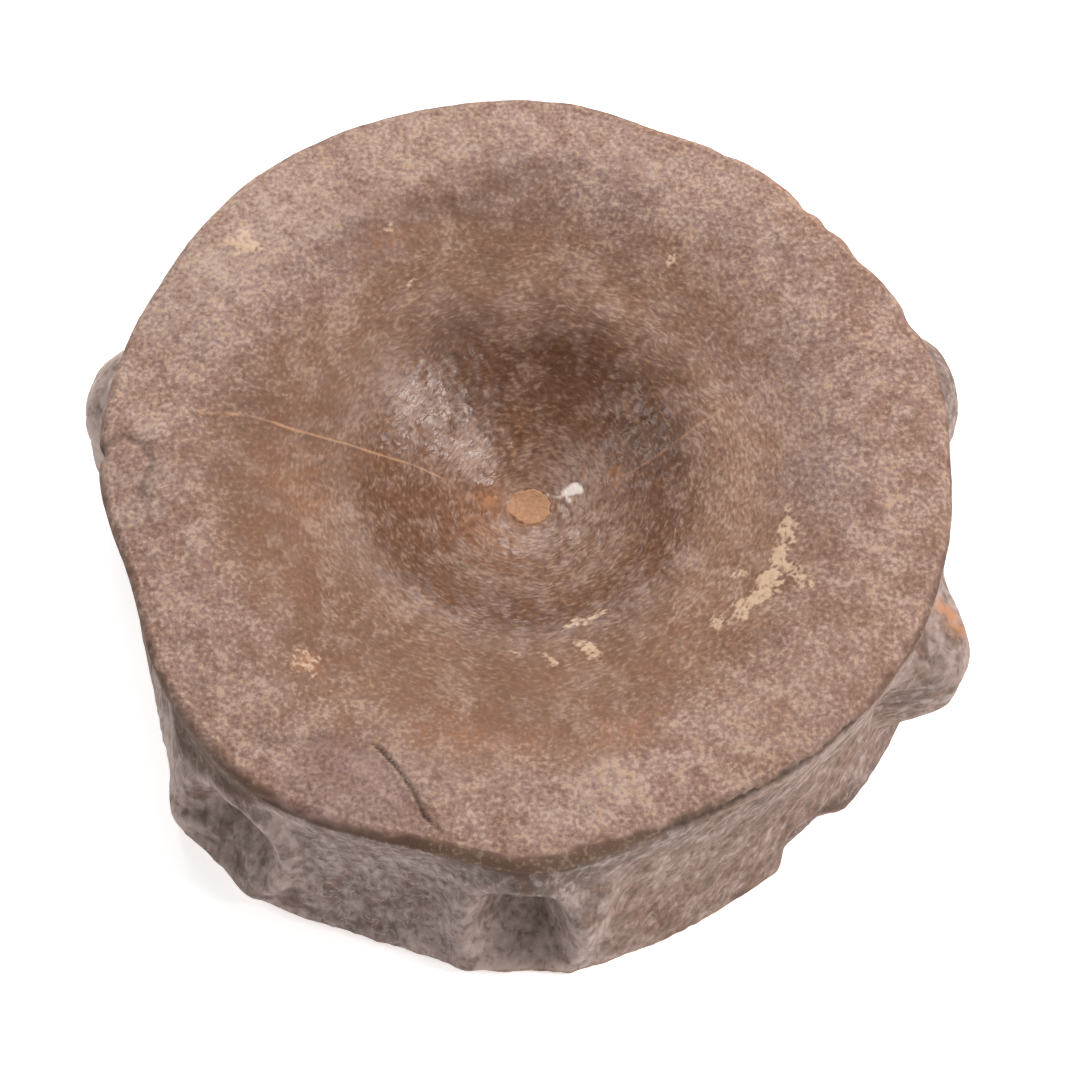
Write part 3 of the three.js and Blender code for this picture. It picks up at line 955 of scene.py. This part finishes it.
def build_plug(material, shift):
    """Clay in the pit of the upper dish: an uneven oval that goes on with the funnel's slope."""
    noise = Noise(71)
    angle = np.radians(np.linspace(0, 360, PLUG_SIDES, endpoint=False)[:, None])
    part = np.linspace(0.01, 1, PLUG_ROWS)[None, :]
    edge = PLUG_EDGE
    for waves, depth in PLUG_WAVES:
        edge = edge + depth * noise.once(waves * np.cos(angle), waves * np.sin(angle), angle * 0)
    x = PLUG_STRETCH[0] * edge * part * np.cos(angle)
    y = PLUG_STRETCH[1] * edge * part * np.sin(angle)
    grit = PLUG_GRIT * noise.octaves(x, y, x * 0, 0.8, 3)
    height = THICKNESS - face_depth(np.hypot(x, y)) + PLUG_STAND + grit
    height = height - PLUG_TUCK * smooth(part, 0.9, 1.0)
    top = np.stack([x, y, height], -1)

    def ring(radius):
        floor = np.full_like(angle, THICKNESS - PLUG_FLOOR)
        return np.stack([radius * np.cos(angle), radius * np.sin(angle), floor], -1)

    points = np.concatenate([ring(AXIS_RADIUS), ring(PLUG_WALL), top[:, ::-1]], 1) + shift + (*DISH_SHIFT, 0)
    mesh, _, _ = grid_mesh("pit_plug_clay", points * MM)
    return link("pit_plug_clay", mesh, material)


# Materials

def linear(value):
    """One channel of sRGB, 0 to 255, to linear."""
    value /= 255
    return value / 12.92 if value <= 0.04045 else ((value + 0.055) / 1.055) ** 2.4


class Nodes:
    """Short names for the nodes that the materials share; lengths are millimetres."""

    def __init__(self, name, middle=(0, 0, 0)):
        self.material = bpy.data.materials.new(name)
        self.material.use_nodes = True
        self.tree = self.material.node_tree
        self.tree.nodes.clear()
        self.output = self.tree.nodes.new("ShaderNodeOutputMaterial")
        self.shader = self.tree.nodes.new("ShaderNodeBsdfPrincipled")
        self.tree.links.new(self.shader.outputs[0], self.output.inputs[0])
        place = self.tree.nodes.new("ShaderNodeTexCoord").outputs["Object"]
        self.place = self.vector("SUBTRACT", self.vector("SCALE", place, 1 / MM), middle)

    def put(self, value, socket):
        if isinstance(value, bpy.types.NodeSocket):
            self.tree.links.new(value, socket)
        else:
            socket.default_value = value

    def paint(self, tone, socket):
        """Give a socket a linked colour or an sRGB one."""
        if isinstance(tone, bpy.types.NodeSocket):
            self.tree.links.new(tone, socket)
        else:
            socket.default_value = (*[linear(channel) for channel in tone], 1.0)

    def vector(self, kind, first, second=None):
        node = self.tree.nodes.new("ShaderNodeVectorMath")
        node.operation = kind
        self.put(first, node.inputs[0])
        if second is not None:
            self.put(second, node.inputs["Scale" if kind == "SCALE" else 1])
        return node.outputs["Value" if kind == "LENGTH" else "Vector"]

    def maths(self, kind, first, second=0.0):
        node = self.tree.nodes.new("ShaderNodeMath")
        node.operation = kind
        self.put(first, node.inputs[0])
        self.put(second, node.inputs[1])
        return node.outputs[0]

    def times(self, first, second):
        return self.maths("MULTIPLY", first, second)

    def plus(self, first, second):
        return self.maths("ADD", first, second)

    def minus(self, first, second):
        return self.maths("SUBTRACT", first, second)

    def split(self, vector):
        node = self.tree.nodes.new("ShaderNodeSeparateXYZ")
        self.put(vector, node.inputs[0])
        return node.outputs[0], node.outputs[1], node.outputs[2]

    def join(self, x, y, z):
        node = self.tree.nodes.new("ShaderNodeCombineXYZ")
        for value, socket in zip((x, y, z), node.inputs):
            self.put(value, socket)
        return node.outputs[0]

    def noise(self, size, detail, rough, warp=0.0, at=None):
        node = self.tree.nodes.new("ShaderNodeTexNoise")
        node.inputs["Scale"].default_value = 1 / size
        node.inputs["Detail"].default_value = detail
        node.inputs["Roughness"].default_value = rough
        node.inputs["Distortion"].default_value = warp
        self.put(at or self.place, node.inputs["Vector"])
        return node.outputs["Fac"]

    def ramp(self, value, low, high, start=0.0, end=1.0):
        node = self.tree.nodes.new("ShaderNodeMapRange")
        node.interpolation_type = "SMOOTHSTEP"
        self.put(value, node.inputs["Value"])
        for name, number in (("From Min", low), ("From Max", high), ("To Min", start), ("To Max", end)):
            node.inputs[name].default_value = number
        return node.outputs["Result"]

    def mix(self, share, first, second):
        """Blend of two colours."""
        node = self.tree.nodes.new("ShaderNodeMix")
        node.data_type = "RGBA"
        self.put(share, node.inputs["Factor"])
        self.paint(first, node.inputs[6])
        self.paint(second, node.inputs[7])
        return node.outputs[2]

    def coats(self, base, *coats):
        """Colours over a base colour, each with its share."""
        for share, tone in coats:
            base = self.mix(share, base, tone)
        return base

    def blend(self, share, first, second):
        """Blend of two values."""
        node = self.tree.nodes.new("ShaderNodeMix")
        self.put(share, node.inputs["Factor"])
        self.put(first, node.inputs[2])
        self.put(second, node.inputs[3])
        return node.outputs[0]

    def masks(self, name):
        attribute = self.tree.nodes.new("ShaderNodeAttribute")
        attribute.attribute_name = name
        split = self.tree.nodes.new("ShaderNodeSeparateColor")
        self.tree.links.new(attribute.outputs["Color"], split.inputs[0])
        return (*split.outputs, attribute.outputs["Alpha"])

    def bump(self, height, strength, distance):
        node = self.tree.nodes.new("ShaderNodeBump")
        node.inputs["Strength"].default_value = strength
        node.inputs["Distance"].default_value = distance * MM
        self.put(height, node.inputs["Height"])
        return node.outputs[0]


def steady_blend(n, share, first, second):
    """Blend of two noises that keeps their contrast where both show."""
    rest = n.minus(1.0, share)
    loss = n.plus(n.times(share, share), n.times(rest, rest))
    blended = n.minus(n.blend(share, first, second), 0.5)
    return n.plus(n.times(blended, n.maths("POWER", loss, -0.5)), 0.5)


def bone_grain(n, m):
    """Short grain: along the rings in the dishes, even on the rims, slanted on the flank."""
    x, y, z = n.split(n.place)
    upper = n.maths("GREATER_THAN", z, THICKNESS / 2)
    dish_x = n.minus(x, n.times(upper, DISH_SHIFT[0]))
    dish_y = n.minus(y, n.times(upper, DISH_SHIFT[1]))
    radius = n.vector("LENGTH", n.join(dish_x, dish_y, 0.0))
    ring = n.plus(n.times(n.plus(radius, n.times(m["waver"], 0.5)), 2.7), n.times(upper, 77.0))
    ringed = n.noise(1.0, 1.5, 0.5, 0.0, n.join(n.times(dish_x, 1.5), n.times(dish_y, 1.5), ring))
    even = n.noise(0.46, 1.5, 0.55)
    face_grain = steady_blend(n, n.ramp(radius, 19, 31, 0.0, 0.85), ringed, even)

    around = n.times(n.maths("ARCTAN2", x, n.times(y, -1.0)), RIM_RADIUS)
    across = n.minus(n.times(around, SLANT[0]), n.times(z, SLANT[1]))
    along = n.plus(n.times(around, SLANT[1]), n.times(z, SLANT[0]))
    slanted = n.noise(1.0, 2.0, 0.55, 0.5, n.join(n.times(across, 1.7), n.times(along, 0.8), n.times(z, 0.2)))
    chips = n.noise(1.0, 2.0, 0.5, 0.4, n.join(n.times(x, 1.3), n.times(y, 1.3), n.times(z, 0.7)))
    side_grain = steady_blend(n, n.ramp(m["brown_flank"], 0, 1, 0.05, 0.6), chips, slanted)
    return n.blend(m["flank"], face_grain, side_grain)


def worm_lines(n, size, width):
    """Thin wandering lines where a noise crosses its middle."""
    wander = n.noise(size, 2.0, 0.6, 0.3)
    return n.ramp(n.maths("ABSOLUTE", n.minus(wander, 0.5)), width, 0.0)


def ground_colour(n, m, grain):
    """Soft colours of the dishes, the rims and the flank, with painted shade and sheen, and the brown edge,
    partly painted shade.
    """
    face = n.coats(
        n.mix(n.ramp(m["blotch"], 0.36, 0.66), *DISH_TONES),
        (m["funnel"], FUNNEL_TONE),
        (m["rim"], RIM_TONE),
        (n.times(m["brown"], 0.75), BROWN_TONE),
        # Mauve patches, one of them part of the painted sheen in the funnel
        (n.times(m["mauve"], 0.75), MAUVE_TONE),
    )
    side = n.coats(
        n.mix(n.ramp(m["mottle"], 0.36, 0.64), *SIDE_TONES),
        (n.times(m["canal"], 0.6), CANAL_TONE),
        # Reddish brown of the right flank and painted shade on the far side
        (n.times(m["brown_flank"], 0.75), BROWN_SIDE_TONE),
        (n.times(m["streaks"], 0.55), STREAK_TONE),
        # Painted shade of the flank
        (n.times(m["hollow"], 0.65), HOLLOW_SHADE_TONE),
    )
    fuzzy = n.ramp(n.plus(m["edge"], n.times(n.minus(grain, 0.5), 1.3)), 0.1, 1.0)
    return n.coats(
        n.mix(m["flank"], face, side),
        # Painted shade of the funnel, with dark stain
        (n.times(m["shade"], 0.8), SHADE_AND_STAIN_TONE),
        # Pale patches, with the painted sheen in the funnel
        (n.times(m["pale"], 0.52), n.mix(m["flank"], *PALE_AND_SHEEN_TONES)),
        (n.times(m["scar"], 0.6), SCAR_TONE),
        (n.times(n.ramp(m["mottle"], 0.52, 0.66), 0.2), MOTTLE_PALE_TONE),
        (n.times(n.ramp(m["mottle"], 0.46, 0.32), 0.2), MOTTLE_BROWN_TONE),
        # Brown edge of the upper rim, partly painted shade
        (n.times(fuzzy, n.ramp(m["edge"], 0.0, 0.3, 0.0, 0.85)), EDGE_BROWN_AND_SHADE_TONE),
    )


def grained_colour(n, m, grain, base):
    """Pale and dark grain, densest on the rims and in the pale patches, and the flank's lines."""
    crowd = n.times(n.minus(n.plus(m["mottle"], n.times(m["blotch"], 0.5)), 0.75), 0.3)
    crowd = n.plus(crowd, n.ramp(m["rim"], 0, 1, -0.03, 0.0))
    crowd = n.plus(crowd, n.times(n.minus(m["pale"], n.times(m["shade"], 0.5)), 0.05))
    crowded = n.plus(grain, crowd)

    pale_tone = n.coats(
        n.mix(n.ramp(m["speck"], 0.34, 0.54), *FACE_GRAIN_TONES),
        (m["flank"], SIDE_GRAIN_TONE),
        (n.times(m["funnel"], 0.5), FUNNEL_GRAIN_TONE),
        (n.times(m["shade"], 0.55), SHADE_GRAIN_TONE),
    )
    quiet = n.plus(n.times(m["scar"], 0.35), n.plus(n.times(m["edge"], 0.6), n.times(m["brown"], 0.5)))
    pale_share = n.plus(n.ramp(m["rim"], 0, 1, 0.42, 0.56), n.times(m["flank"], 0.1))
    pale_share = n.times(pale_share, n.minus(1.0, quiet))

    on_part = n.plus(n.times(m["funnel"], 0.1), n.times(m["flank"], 0.14))
    dark_share = n.plus(n.ramp(m["rim"], 0, 1, 0.45, 0.48), on_part)
    dark_share = n.times(dark_share, n.minus(1.0, n.times(m["brown"], 0.45)))

    worms = n.times(worm_lines(n, 1.7, 0.05), n.ramp(m["speck"], 0.4, 0.6, 0.2, 1.0))
    worms = n.times(n.times(worms, m["flank"]), n.ramp(m["canal"], 0, 1, 0.2, 0.6))
    return n.coats(
        base,
        (n.times(n.ramp(crowded, 0.47, 0.72), pale_share), pale_tone),
        (n.times(n.ramp(crowded, 0.5, 0.26), dark_share), n.mix(m["flank"], *DARK_GRAIN_TONES)),
        (worms, WORM_TONE),
    )


def marked_colour(n, m, grain, base):
    """Ochre stains, veins, painted shade in the cracks, along the folds and in the groove, pale crusts and
    the white mark.
    """
    ragged = n.ramp(n.plus(m["crust"], n.times(n.minus(grain, 0.5), 1.9)), 0.2, 0.95)
    return n.coats(
        base,
        (n.times(m["orange"], n.ramp(m["speck"], 0.35, 0.62, 0.2, 0.75)), ORANGE_TONE),
        (n.times(m["vein"], 0.6), VEIN_TONE),
        # Painted shade in the crack and along the folds
        (n.times(m["dark"], 0.8), LINE_SHADE_TONE),
        # Painted shadow in the groove
        (n.times(m["groove"], 0.8), GROOVE_SHADOW_TONE),
        (n.times(ragged, n.ramp(m["crust"], 0.0, 0.45, 0.0, 0.8)), CRUST_TONE),
        (n.times(m["white"], 0.85), WHITE_TONE),
    )


def bone_material(middle):
    """Permineralised bone: brown dishes, mauve grey rims and flank, pale and dark grain."""
    n = Nodes("fossil_bone", tuple(middle))
    m = {}
    for name, layers in MASK_LAYERS.items():
        m.update(zip(layers, n.masks(name)))
    grain = bone_grain(n, m)
    base = ground_colour(n, m, grain)
    base = grained_colour(n, m, grain, base)
    n.put(marked_colour(n, m, grain, base), n.shader.inputs["Base Color"])

    gloss = n.minus(n.ramp(m["speck"], 0.35, 0.65, 0.62, 0.76), n.times(m["funnel"], 0.36))
    gloss = n.plus(gloss, n.plus(n.times(m["flank"], 0.1), n.times(m["edge"], 0.3)))
    n.put(gloss, n.shader.inputs["Roughness"])
    n.shader.inputs["IOR"].default_value = 1.5
    n.shader.inputs["Specular IOR Level"].default_value = 0.35
    n.put(n.bump(grain, 0.5, 0.14), n.shader.inputs["Normal"])
    return n.material


def clay_material():
    """Ochre sediment, matt and granular."""
    n = Nodes("ochre_sediment")
    grit = n.noise(0.35, 3.0, 0.65, 0.6)
    n.put(n.mix(n.ramp(grit, 0.38, 0.62), *CLAY_TONES), n.shader.inputs["Base Color"])
    n.shader.inputs["Roughness"].default_value = 0.92
    n.put(n.bump(grit, 0.35, 0.12), n.shader.inputs["Normal"])
    return n.material


def floor_material():
    n = Nodes("studio_floor")
    n.shader.inputs["Base Color"].default_value = (0.9, 0.9, 0.9, 1)
    n.shader.inputs["Roughness"].default_value = 0.9
    n.shader.inputs["Specular IOR Level"].default_value = 0.0
    n.shader.inputs["Emission Color"].default_value = (1, 1, 1, 1)
    n.shader.inputs["Emission Strength"].default_value = 0.6
    return n.material


# Studio

def add_floor():
    mesh = bpy.data.meshes.new("studio_floor")
    corners = [(-1, -1), (1, -1), (1, 1), (-1, 1)]
    mesh.from_pydata([(x * FLOOR_HALF, y * FLOOR_HALF, 0) for x, y in corners], [], [(0, 1, 2, 3)])
    floor = link("studio_floor", mesh, floor_material())


def add_light(name, azimuth, elevation, distance, width, height, watts, tint):
    """Soft box aimed at the bone."""
    light = bpy.data.lights.new(name, "AREA")
    light.shape = "RECTANGLE"
    light.size = width
    light.size_y = height
    light.energy = watts
    light.color = tint
    lamp = bpy.data.objects.new(name, light)
    across = distance * math.cos(math.radians(elevation))
    lamp.location = (
        across * math.cos(math.radians(azimuth)),
        across * math.sin(math.radians(azimuth)),
        distance * math.sin(math.radians(elevation)),
    )
    lamp.rotation_euler = (math.radians(90 - elevation), 0, math.radians(azimuth + 90))
    bpy.context.scene.collection.objects.link(lamp)


def add_lights():
    for light in LIGHTS:
        add_light(*light)
    world = bpy.data.worlds.new("studio")
    world.use_nodes = True
    background = world.node_tree.nodes["Background"]
    background.inputs["Color"].default_value = (1, 1, 1, 1)
    background.inputs["Strength"].default_value = WORLD_STRENGTH
    bpy.context.scene.world = world


def add_camera(shift):
    camera = bpy.data.cameras.new("camera")
    camera.lens = CAMERA_LENS
    camera.sensor_width = CAMERA_SENSOR
    camera.clip_start = 0.01
    tripod = bpy.data.objects.new("camera", camera)
    elevation = math.radians(CAMERA_ELEVATION)
    target = np.array(CAMERA_TARGET) + shift
    away = np.array([0, -math.cos(elevation), math.sin(elevation)]) * CAMERA_DISTANCE
    tripod.location = (target + away) * MM
    tripod.rotation_euler = (math.radians(90) - elevation, 0, 0)
    bpy.context.scene.collection.objects.link(tripod)
    bpy.context.scene.camera = tripod


def main():
    shift = axis_place()
    bone = build_centrum(bone_material(shift), shift)
    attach(bone, "root")
    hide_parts("centrum")
    plug = build_plug(clay_material(), shift)
    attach(plug, "root")
    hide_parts("pit_plug")
    add_floor()
    add_lights()
    add_camera(shift)
    bpy.context.scene.view_settings.view_transform = "Standard"


main()
